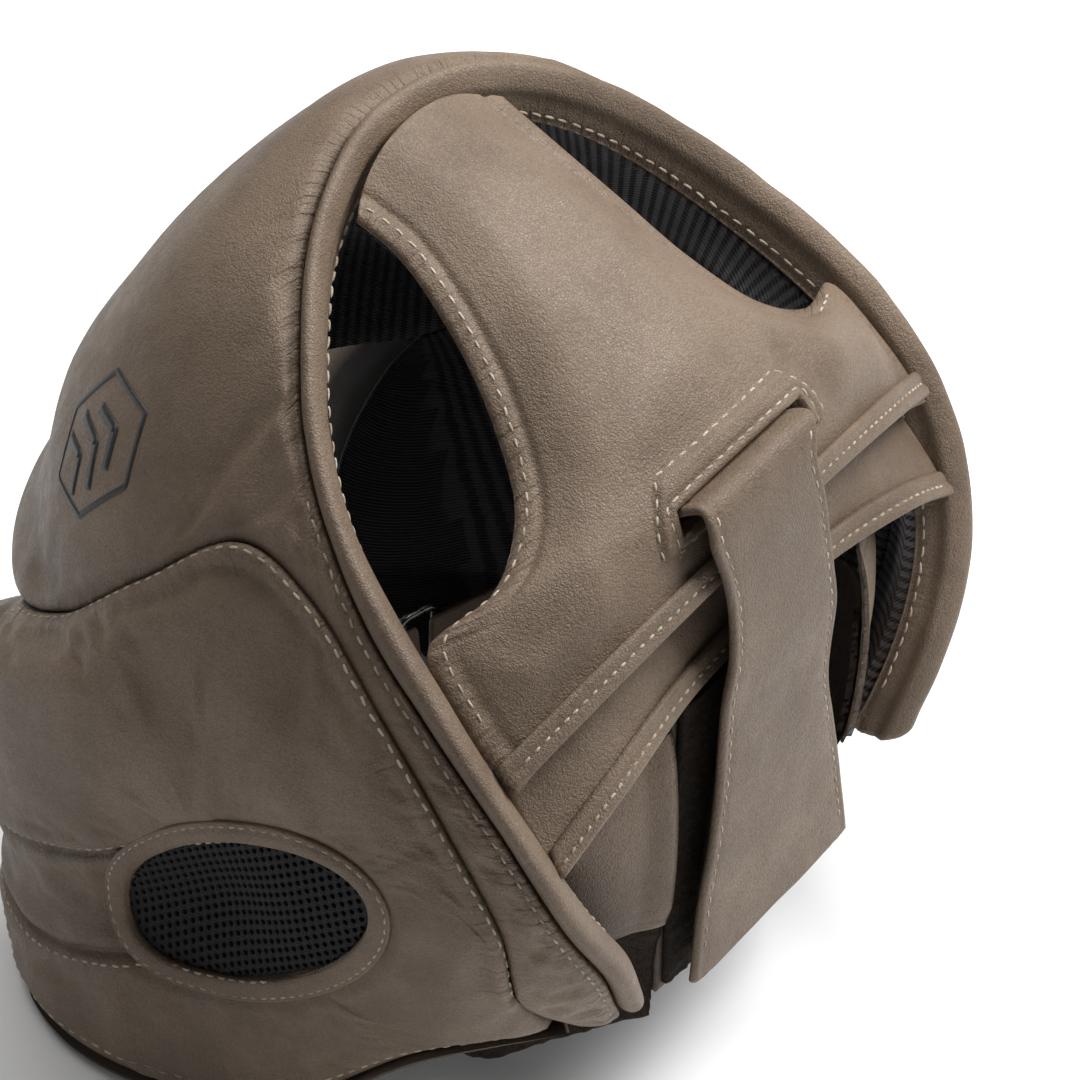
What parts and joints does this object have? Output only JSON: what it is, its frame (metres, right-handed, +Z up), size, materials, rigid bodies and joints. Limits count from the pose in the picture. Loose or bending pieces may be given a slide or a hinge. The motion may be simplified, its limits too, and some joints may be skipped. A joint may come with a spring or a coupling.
{
  "type": "boxing headgear",
  "caption": "Padded boxing headgear with brow, cheek and ear pads, a slotted crown panel and a rear closure strap.",
  "frame": {"origin": "on the ground under the middle of the headgear's overall depth, between the two jaw pads", "axes": "+Z up, the face opening looks along -Y, the wearer's left side is +X"},
  "size_m": [0.217, 0.2026, 0.2388],
  "materials": {
    "leather": "taupe brown waxed leather, satin",
    "dark_leather": "dark brown suede-side leather",
    "knit": "dark grey ribbed knit lining",
    "air_mesh": "black spacer mesh",
    "foam": "dark grey closed-cell foam",
    "loop_pile": "dark brown loop pile",
    "hook_tape": "dark hook tape",
    "steel": "antique nickel"
  },
  "bodies": {
    "shell": {"chin_loop": "loop_pile", "chin_ring": "steel", "chin_ring_tab": "leather", "chin_strap": "leather", "crown_cover": "leather", "crown_foam": "foam", "crown_hem": "leather", "crown_lining": "knit", "forehead_cover": "leather", "forehead_foam": "foam", "forehead_lining": "knit", "left_border_foam": "foam", "left_channel_foam": "foam", "left_cheek_foam": "foam", "left_ear_mesh": "air_mesh", "left_ear_ring": "leather", "left_jaw_foam": "foam", "left_jaw_gusset": "leather", "left_nape_arm": "dark_leather", "left_nape_arm_loop": "loop_pile", "left_rear_foam": "foam", "left_side_cover": "leather", "left_side_lining": "knit", "left_temple_foam": "foam", "nape_loop": "loop_pile", "nape_panel": "dark_leather", "rear_band": "leather", "rear_band_hem": "leather", "rear_band_lining": "knit", "right_border_foam": "foam", "right_channel_foam": "foam", "right_cheek_foam": "foam", "right_ear_mesh": "air_mesh", "right_ear_ring": "leather", "right_jaw_foam": "foam", "right_jaw_gusset": "leather", "right_nape_arm": "dark_leather", "right_nape_arm_loop": "loop_pile", "right_rear_foam": "foam", "right_side_cover": "leather", "right_side_lining": "knit", "right_temple_foam": "foam", "rim_roll": "leather", "slot_facing": "leather", "strap_anchor": "leather"},
    "closure": {"closure_strap": "leather", "closure_hook": "hook_tape"},
    "chin_tab": {"chin_tab": "leather", "chin_tab_hook": "hook_tape"}
  },
  "joints": [
    {"name": "closure_strap_peel", "type": "hinge", "parent": "shell", "child": "closure", "pos_m": [0, 0.0893, 0.184], "axis": [1, 0, 0], "range_deg": [0, 95]},
    {"name": "chin_tab_peel", "type": "hinge", "parent": "shell", "child": "chin_tab", "pos_m": [-0.042, -0.0468, 0.0205], "axis": [0, 0, 1], "range_deg": [-60, 0]}
  ]
}
